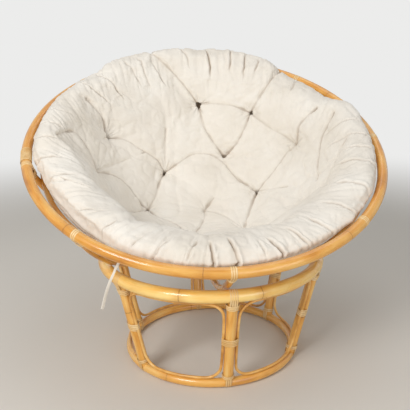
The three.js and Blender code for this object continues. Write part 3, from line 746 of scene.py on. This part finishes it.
# The cushion's outline at one angle as (distance out, height), from the middle of its top to that below
def outline(angle):
    drop = chair["rimDrop"] * 1000
    edge = roundValue(cushion["edge"], angle)
    rise = roundValue(cushion["rise"], angle)
    other = "held" if edge < 0 else "proud"
    rows = []
    for polar in cushion["seatRows"]:
        turn = math.radians(polar)
        rows.append((cushion["crown"] * math.sin(turn), -cushion["crown"] * math.cos(turn)))
    rollOut = cushion["rimOut"] + cushion["edgeOut"]
    for tucked, moved in zip(cushion["tuckedRoll"], cushion[other + "Roll"]):
        out, above = (t + abs(edge) * (m - t) for t, m in zip(tucked, moved))
        rows.append((rollOut + out * cushion["roll"], above * rise * cushion["roll"] - drop))
    for k, place in enumerate(cushion["tuckedRest"]):
        tucked = aroundRim(place)
        if edge < 0:
            moved = [value * cushion["roll"] for value in cushion["heldRest"][k]]
        else:
            moved = aroundRim(cushion["proudRest"][k])
        out, above = (t + abs(edge) * (m - t) for t, m in zip(tucked, moved))
        rows.append((cushion["rimOut"] + out, above - drop))
    inner, outer = cushion["bridgeEnds"]
    for polar in cushion["underRows"]:
        between = min(max((polar - inner) / (outer - inner), 0), 1)
        radius = cushion["base"] - cushion["bridge"] * math.sin(math.pi * between) ** 2
        rows.append((radius * math.sin(math.radians(polar)), -radius * math.cos(math.radians(polar))))
    return smoothThrough(rows, cushion["rowParts"])


# Closed start shape: outlines set side by side round the axis
def cushionShell():
    columns = cushion["columns"]
    angles = (np.arange(columns) + 0.5) / columns * math.tau
    out, height = np.array([outline(angle) for angle in angles]).T
    points = np.stack([out * np.sin(angles), -out * np.cos(angles), height], -1)[1:-1]
    grid = np.arange(len(points) * columns).reshape(len(points), columns)
    after = np.roll(grid, -1, 1)
    quads = np.stack([grid[:-1], grid[1:], after[1:], after[:-1]], -1).reshape(-1, 4)
    faces = [tuple(map(int, quad)) for quad in quads]
    faces += [tuple(map(int, grid[0])), tuple(map(int, grid[-1][::-1]))]
    mesh = bpy.data.meshes.new("cushion")
    mesh.from_pydata((points.reshape(-1, 3) / 1000).tolist(), [], faces)
    piece = newPiece("cushion", mesh)
    select(piece)
    bpy.ops.object.mode_set(mode="EDIT")
    bpy.ops.mesh.select_all(action="SELECT")
    bpy.ops.mesh.normals_make_consistent(inside=False)
    bpy.ops.object.mode_set(mode="OBJECT")
    return piece


def readPoints(mesh):
    points = np.empty(len(mesh.vertices) * 3, np.float32)
    mesh.vertices.foreach_get("co", points)
    return points.reshape(-1, 3).astype(float) * 1000


def writePoints(mesh, points):
    mesh.vertices.foreach_set("co", (points / 1000).astype(np.float32).ravel())
    mesh.update()


# The cover's points: distance from the axis, height over the rim's plane, angle round the bowl, how far one
# looks to the bowl's centre, and its place on the map
def readCover(piece):
    points = readPoints(piece.data)
    normals = np.empty(len(points) * 3, np.float32)
    piece.data.vertex_normals.foreach_get("vector", normals)
    normals = normals.reshape(-1, 3).astype(float)
    far = np.linalg.norm(points, axis=1)
    return {
        "points": points,
        "normals": normals,
        "out": np.linalg.norm(points[:, :2], axis=1),
        "above": points[:, 2] + chair["rimDrop"] * 1000,
        "angle": np.arctan2(points[:, 0], -points[:, 1]),
        "inner": -np.einsum("ij,ij->i", normals, points) / far,
        "map": points / far[:, None] * cushion["mapRadius"],
    }


# How much each point belongs to the cover's upper sheet
def topShare(cover, values):
    return np.maximum(rampUp(cover["inner"], *values["top"]), rampUp(cover["above"], *values["overRim"]))


# Distance of each point from a crease on the map, and how far along the crease it is
def creaseDistance(cover, crease):
    tufts = cushion["tufts"]
    given = [tufts[point][1:] if isinstance(point, int) else point for point in crease]
    given = np.radians(np.array(given, float))
    line = smoothThrough(onSphere(given[:, 0], given[:, 1], cushion["mapRadius"]), 5)
    reach = 60
    close = (cover["map"] > line.min(0) - reach) & (cover["map"] < line.max(0) + reach)
    near = np.all(close, axis=1)
    spots = cover["map"][near]
    nearest = np.full(len(spots), np.inf)
    at = np.zeros(len(spots))
    for i in range(len(line) - 1):
        a, b = line[i], line[i + 1]
        t = np.clip(((spots - a) @ (b - a)) / ((b - a) @ (b - a)), 0, 1)
        away = np.linalg.norm(spots - (a + t[:, None] * (b - a)), axis=1)
        closer = away < nearest
        nearest[closer] = away[closer]
        at[closer] = (i + t[closer]) / (len(line) - 1)
    best = np.full(len(near), np.inf)
    place = np.zeros(len(near))
    best[near], place[near] = nearest, at
    return best, place


# Each point's offset from a tuft on the map, the tuft's own place there, and the distance
def tuftOffset(cover, angle, polar):
    tuft = onSphere(math.radians(angle), math.radians(polar), cushion["mapRadius"])
    offset = cover["map"] - tuft
    return offset, tuft, np.linalg.norm(offset, axis=1)


# How far each point is from a tuck, and how much of the tuck is there
def tuckDistance(cover, tuck):
    _, fromAngle, fromOut, toAngle, toOut = tuck
    place = (cover["out"] - fromOut) / (toOut - fromOut)
    middle = np.radians(fromAngle + (toAngle - fromAngle) * place)
    away = ((cover["angle"] - middle + math.pi) % math.tau - math.pi) * cover["out"]
    fade = (-0.15, 0.3)  # past both its ends
    return away, rampUp(place, *fade) * rampUp(1 - place, *fade)


def makeCushion():
    piece = cushionShell()
    remesh = piece.modifiers.new("even cloth", "REMESH")
    remesh.mode = "VOXEL"
    remesh.voxel_size = cushion["voxel"]
    select(piece)
    bpy.ops.object.modifier_apply(modifier=remesh.name)
    pressCushion(piece)
    smooth = piece.modifiers.new("smooth", "SUBSURF")
    smooth.levels = smooth.render_levels = 1
    select(piece)
    bpy.ops.object.modifier_apply(modifier=smooth.name)
    refineCreases(piece)
    foldCushion(piece)
    select(piece)
    bpy.ops.object.shade_smooth()
    return piece


# The creases, slack folds and tufts are pressed in, and then the cover is filled
def pressCushion(piece):
    cover = readCover(piece)
    top = topShare(cover, pressed)
    depth = np.zeros(len(top))
    held = np.zeros(len(top))
    for crease in cushion["creases"]:
        away, place = creaseDistance(cover, crease[1:])
        slack = 1 - pressed["creaseSlack"] * np.sin(math.pi * place)
        pushed = dent(away, pressed["creaseShare"] * crease[0], pressed["creaseWidth"]) * slack
        depth = np.maximum(depth, pushed)
        hold = dent(away, *pressed["creaseHold"]) * min(crease[0] / pressed["fullCrease"], 1)
        held = np.maximum(held, hold)
    for drape in cushion["drapes"]:
        away, place = creaseDistance(cover, drape[2:])
        depth += dent(away, *drape[:2]) * np.sin(math.pi * np.clip(place, *pressed["drapeEnds"]))
    for share, angle, polar in cushion["tufts"]:
        away = tuftOffset(cover, angle, polar)[2]
        depth += share * (dent(away, *pressed["tuft"]) + dent(away, *pressed["pit"]))
        held = np.maximum(held, dent(away, *pressed["tuftHold"]) * min(0.5 + share, 1))
    depth += pressed["inset"] * (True)
    points = cover["points"] - cover["normals"] * (depth * top)[:, None]
    writePoints(piece.data, points)
    puffCushion(piece, points, cover["out"], top, held)


# Splits the top's faces within these distances of creases, tucks and tufts, which need finer cloth
finer = {"top": -0.2, "crease": 8, "tuck": 12, "tuft": 22}


def refineCreases(piece):
    cover = readCover(piece)
    near = np.zeros(len(cover["out"]), bool)
    for crease in cushion["creases"]:
        near |= creaseDistance(cover, crease[1:])[0] < finer["crease"]
    for tuck in cushion["tucks"]:
        away, strength = tuckDistance(cover, tuck)
        near |= (np.abs(away) < finer["tuck"]) & (strength > 0)
    for _, angle, polar in cushion["tufts"]:
        near |= tuftOffset(cover, angle, polar)[2] < finer["tuft"]
    near &= (cover["inner"] > finer["top"]) | (cover["above"] > 0)
    corners = np.empty(len(piece.data.loops), np.int64)
    piece.data.loops.foreach_get("vertex_index", corners)
    starts = np.empty(len(piece.data.polygons), np.int64)
    piece.data.polygons.foreach_get("loop_start", starts)
    chosen = np.add.reduceat(near[corners].astype(int), starts) > 0
    select(piece)
    bpy.ops.object.mode_set(mode="EDIT")
    bpy.ops.mesh.select_mode(type="FACE")
    bpy.ops.mesh.select_all(action="DESELECT")
    bpy.ops.object.mode_set(mode="OBJECT")
    piece.data.polygons.foreach_set("select", chosen)
    bpy.ops.object.mode_set(mode="EDIT")
    bpy.ops.mesh.subdivide(number_cuts=1, smoothness=0)
    bpy.ops.object.mode_set(mode="OBJECT")


# Smooth random values from 0 to 1 in space, the same on every run, eased between the corners of a grid
def softNoise(points, size, seed):
    scaled = points / size + seed * 17.31
    cell = np.floor(scaled).astype(np.int64)
    t = scaled - cell
    t = t * t * (3 - 2 * t)
    total = np.zeros(len(points))
    for corner in range(8):
        step = np.array([corner & 1, corner >> 1 & 1, corner >> 2 & 1])
        key = (cell + step) @ np.array([73856093, 19349663, 83492791]) + seed * 7919
        key = (key ^ (key >> 13)) * 1274126177 & 0x7FFFFFFF
        key = (key ^ (key >> 15)) * 2246822519 & 0x7FFFFFFF
        share = np.prod(np.where(step, t, 1 - t), axis=1)
        total += share * (key / 0x7FFFFFFF)
    return total


# Random values from low to high, in patches of a size
def patchy(points, seed, size, low, high):
    return low + (high - low) * softNoise(points, size, seed)


# Folds with round backs and sharp valleys, where the random value passes its middle
def sharpFolds(value, narrow=6, sharp=0.7):
    return 1 - np.clip(np.abs(value - 0.5) * narrow, 0, 1) ** sharp


# The cover's small folds. Pairs are depth and width.
folds = {
    "top": (-0.1, 0.3),
    "overRim": (-32, 22),
    "edge": (330, 110),  # distance from the axis where the edge begins, and its fade
    "rollMiddle": 480,
    # gathers round the edge: waves, depth, how much they wander
    "pleats": ((15, 4.6, 0.3), (29, 2.8, 0.6), (60, 1.5, 1.0)),
    "pleatLean": 0.16,  # they lean towards the front as they run into the seat
    "leanReach": 100,
    # how strongly the edge is gathered at each 30 degrees from the front
    "gathers": [1, 0.9, 0.6, 0.5, 0.6, 0.9, 1, 0.85, 0.65, 0.6, 0.85, 1],
    "crumple": ((80, 3.4), (36, 2.2), (18, 0.9)),  # size, depth
    # how strong they are, how the lines waver and how they fade: size of a patch, lowest and highest value
    "pleatStrength": (130, 0.35, 1.65),
    "crumpleStrength": (160, 0.3, 1.7),
    "uneven": (21, -0.5, 0.5),
    "fading": (38, 0.1, 1.7),
    # folds that fan out from a tuft, and the pit and the dimple under it that its thread pulls
    "fan": {"depth": 7, "fade": 44, "hole": 9, "reach": 110, "waves": 2.4, "length": 70},
    "pit": (5, 4.5),
    "dimple": ((9, 34), (5, 9)),
    # one lip of a crease or tuck lies over the other, so its line is a thin one beside raised lips; its
    # dark entry paints shade along that line
    "crease": {"line": (6.5, 3.2), "lip": (2.5, 6), "lipAway": 10, "dark": (0.7, 2.5)},
    "tuck": {"line": (8, 3.4), "lip": (4, 6), "lipAway": 9, "dark": (0.8, 2.4)},
    "seam": (2, 2.4),
    "seamHeight": -34.0,  # over the rim's plane
    "valley": (2, 9),  # depth where the painted shade of the folds' valleys begins, and its fade
    # how much painted shade darkens the canvas in the valleys, pits and seam, where shade falls
    "valleyShadeStrength": 0.09,
    "pitShade": 0.4,
    "seamShade": 0.45,
}


# Gathers that run over the edge, and crumpled canvas between them
def gatherFolds(cover, top):
    points, out, angle = cover["points"], cover["out"], cover["angle"]
    edge = rampUp(out, *folds["edge"]) * top
    gathers = folds["gathers"] + folds["gathers"][:1]
    edge *= np.interp(np.degrees(angle) % 360, np.linspace(0, 360, len(gathers)), gathers)
    roundRoll = np.arctan2(cover["above"], out - folds["rollMiddle"])
    inwards = np.clip((folds["rollMiddle"] - out) / folds["leanReach"], -0.6, 2)
    leaning = angle + folds["pleatLean"] * inwards * np.sin(angle)
    depth = np.zeros(len(points))
    for k, (waves, deep, wander) in enumerate(folds["pleats"]):
        spot = np.stack([np.sin(leaning) * waves, np.cos(leaning) * waves, roundRoll * wander], -1)
        strength = patchy(points, 31 + k, *folds["pleatStrength"])
        depth += deep * strength * sharpFolds(softNoise(spot, 1.0, 11 + k)) * edge
    share = 0.45 + 0.55 * top * (1 - 0.9 * edge)
    for k, (size, deep) in enumerate(folds["crumple"]):
        strength = patchy(points, 41 + k, *folds["crumpleStrength"])
        depth += deep * strength * sharpFolds(softNoise(points, size, 21 + k)) * share
    return depth


# Folds that fan out from the tufts, the dimples under them, and how much of a pit is at each point
def tuftFolds(cover, top):
    fan = folds["fan"]
    depth = np.zeros(len(top))
    pit = np.zeros(len(top))
    for k, (share, angle, polar) in enumerate(cushion["tufts"]):
        offset, tuft, away = tuftOffset(cover, angle, polar)
        pit = np.maximum(pit, dent(away, share, folds["pit"][1]))
        depth += share * sum(dent(away, *size) for size in folds["dimple"]) * (1 - top)
        near = away < fan["reach"]
        offset, away = offset[near], away[near]
        axis = tuft / np.linalg.norm(tuft)
        sideways = np.cross(axis, (0.3, 0.5, 0.8))  # any direction across the axis
        sideways /= np.linalg.norm(sideways)
        heading = np.arctan2(offset @ np.cross(axis, sideways), offset @ sideways)
        spot = [np.cos(heading) * fan["waves"], np.sin(heading) * fan["waves"], away / fan["length"]]
        strength = dent(away, fan["depth"] * (0.4 + 0.6 * share), fan["fade"])
        strength *= 1 - dent(away, 1, fan["hole"])
        depth[near] += sharpFolds(softNoise(np.stack(spot, -1), 1.0, 61 + k)) * strength * top[near]
    return depth, pit * top


# The lines of the creases and tucks: distance from one, its strength, and its profile. They waver a little.
def foldLines(cover, uneven):
    for crease in cushion["creases"]:
        away, place = creaseDistance(cover, crease[1:])
        away = np.abs(away + 5 * uneven * np.clip(away / 3, 0.3, 1))
        yield away, (1 - 0.5 * np.sin(math.pi * place)) * min(crease[0] / 7, 1), folds["crease"]
    for tuck in cushion["tucks"]:
        away, strength = tuckDistance(cover, tuck)
        yield away + 6 * uneven, strength * tuck[0] / 6, folds["tuck"]


# The depths also set painted shade, kept as an attribute: the canvas is drawn darker in the valleys, pits,
# crease lines and seam, where shade falls
def foldCushion(piece):
    cover = readCover(piece)
    points = cover["points"]
    top = topShare(cover, folds)
    fanned, pit = tuftFolds(cover, top)
    depth = gatherFolds(cover, top) + fanned
    # painted shade: darker where the small folds are deep and in the tufts' pits
    valley = rampUp(depth, *folds["valley"]) * folds["valleyShadeStrength"]
    depth += folds["pit"][0] * pit
    valley = np.maximum(valley, folds["pitShade"] * pit)
    uneven = patchy(points, 91, *folds["uneven"])
    fading = np.clip(patchy(points, 93, *folds["fading"]), 0.5, 1)
    for away, strength, profile in foldLines(cover, uneven):
        strength = strength * top * fading
        lip = dent(away - profile["lipAway"], *profile["lip"])
        depth += (dent(away, *profile["line"]) - lip) * strength
        # painted shade: a thin dark line along each crease and tuck
        valley = np.maximum(valley, dent(away, *profile["dark"]) * np.minimum(strength, 1))
    # the seam where the cover's two sheets are sewn together, under the edge
    fromSeam = cover["above"] - folds["seamHeight"] - 3 * uneven
    seam = dent(fromSeam, 1, folds["seam"][1]) * (1 - top) * (cover["out"] > folds["rollMiddle"])
    depth += folds["seam"][0] * seam
    # painted shade along the seam's groove
    valley = np.maximum(valley, folds["seamShade"] * seam)
    writePoints(piece.data, points - cover["normals"] * depth[:, None])
    layer = piece.data.attributes.new("valley", "FLOAT", "POINT")
    layer.data.foreach_set("value", np.clip(valley, 0, 1).astype(np.float32))


# The cover's cloth and its filling. It is cut wider round its edge than the rim lets it lie, so it gathers.
filling = {
    "cloth": {
        "quality": 4, "mass": 0.3, "use_pressure": True, "uniform_pressure_force": 3.5,
        "tension_stiffness": 25, "compression_stiffness": 25, "shear_stiffness": 8,
        "bending_stiffness": 0.12,
    },
    "frames": 16,
    "cutWider": 0.13,
    "cutEdge": (330, 150),
    "cutLoose": 0.035,
    "cutDeeper": 1.03,
    "mostMove": ((380, 450), (22.0, 11.0)),  # distances from the axis, and how far it may swell there
    "holdSteps": 20,
}


# The cover is blown up like a filled one, held at the tufts and creases and under the rim
def puffCushion(piece, points, out, top, held):
    piece.shape_key_add(name="Basis")
    cut = piece.shape_key_add(name="cut")
    wider = rampUp(out, *filling["cutEdge"]) * filling["cutWider"] * top + filling["cutLoose"]
    grown = points.copy()
    grown[:, :2] *= (1 + wider)[:, None]
    grown[:, 2] *= filling["cutDeeper"]
    cut.data.foreach_set("co", (grown / 1000).astype(np.float32).ravel())
    cut.value = 0
    group = piece.vertex_groups.new(name="held")
    steps = np.round(np.maximum(held * top, 1 - top) * filling["holdSteps"]).astype(int)
    for step in range(1, filling["holdSteps"] + 1):
        group.add(np.nonzero(steps == step)[0].tolist(), step / filling["holdSteps"], "REPLACE")
    cloth = piece.modifiers.new("filled cover", "CLOTH")
    settings = cloth.settings
    for name, value in filling["cloth"].items():
        setattr(settings, name, value)
    settings.vertex_group_mass = "held"
    settings.rest_shape_key = cut
    settings.effector_weights.gravity = 0
    cloth.point_cache.frame_start = 1
    cloth.point_cache.frame_end = filling["frames"] + 2
    scene = bpy.context.scene
    for number in range(1, filling["frames"] + 1):
        scene.frame_set(number)
    puffed = piece.evaluated_get(bpy.context.evaluated_depsgraph_get())
    move = readPoints(puffed.data) - points
    piece.modifiers.remove(cloth)
    piece.shape_key_clear()
    scene.frame_set(1)
    size = np.linalg.norm(move, axis=1)
    most = np.interp(out, *filling["mostMove"])
    move *= (np.minimum(size, most) / np.maximum(size, 1e-6))[:, None]
    writePoints(piece.data, points + move)
    print("cover filled: moved", round(float(size.mean()), 1), "mm on average")


piece = makeCushion()
settle(piece, bowlPlace)
finishPiece(piece, "cushion", "cushion", "cotton_cushion", canvas)
print("cushion sewn:", len(piece.data.vertices), "points")


# floor, lamps and background
studio = {
    "floor": "#DDD8D0",
    "floorSize": 60,
    "fadeStart": 1.5,
    "fadeEnd": 3.6,
    "backdrop": "#ECECEB",
    "ambient": 0.42,
    # place, what the lamp looks at, size and power
    "lamps": {
        "key": ((-2.3, -2.6, 2.4), (0, 0, 0.4), 1.5, 86),
        "fill": ((1.5, -3.2, 0.9), (0, 0, 0.35), 2.0, 26),
        "top": ((0.4, 0.2, 3.0), (0, 0, 0.4), 2.0, 14),
    },
}


def makeFloor():
    deselectAll()
    bpy.ops.mesh.primitive_plane_add(size=studio["floorSize"], location=(0, 0, 0))
    floor = bpy.context.object
    floor.name = "floor"
    material, shader = newMaterial("matte floor", Base_Color=linear(studio["floor"]), Roughness=0.8)
    # far from the chair the floor turns into the pale backdrop, so no horizon shows
    place = (add(material, "TexCoord"), "Object")
    distance = add(material, "VectorMath", {"operation": "LENGTH"}, _0=place)
    far = add(
        material, "MapRange", eased,
        _0=(distance, "Value"), _1=studio["fadeStart"], _2=studio["fadeEnd"], _3=0.0, _4=1.0,
    )
    rays = add(material, "LightPath")
    seen = calculate(material, "MULTIPLY", (far, "Result"), (rays, "Is Camera Ray"))
    backdrop = add(material, "Emission", Color=linear(studio["backdrop"]), Strength=1.0)
    mix = add(material, "MixShader", _0=seen, _1=(shader, "BSDF"), _2=(backdrop, "Emission"))
    link(material, mix, "Shader", material.node_tree.nodes["Material Output"], "Surface")
    floor.data.materials.append(material)


def addLamp(name, place, aim, size, power):
    bpy.ops.object.light_add(type="AREA", location=place)
    lamp = bpy.context.object
    lamp.name = name
    lamp.data.size = size
    lamp.data.energy = power
    lamp.rotation_euler = (Vector(aim) - Vector(place)).to_track_quat("-Z", "Y").to_euler()


def makeWorld():
    world = bpy.data.worlds.new("studio")
    world.use_nodes = True
    bpy.context.scene.world = world
    background = world.node_tree.nodes["Background"]
    background.inputs["Color"].default_value = linear(studio["backdrop"])
    # bright where the camera or a gloss shows it, softer as a light
    rays = add(world, "LightPath")
    seen = calculate(world, "MAXIMUM", (rays, "Is Camera Ray"), (rays, "Is Glossy Ray"))
    strength = add(world, "MapRange", _0=seen, _3=studio["ambient"], _4=1.0)
    link(world, strength, "Result", background, "Strength")


makeFloor()
for name, values in studio["lamps"].items():
    addLamp(name, *values)
makeWorld()
bpy.context.scene.view_settings.view_transform = "Standard"
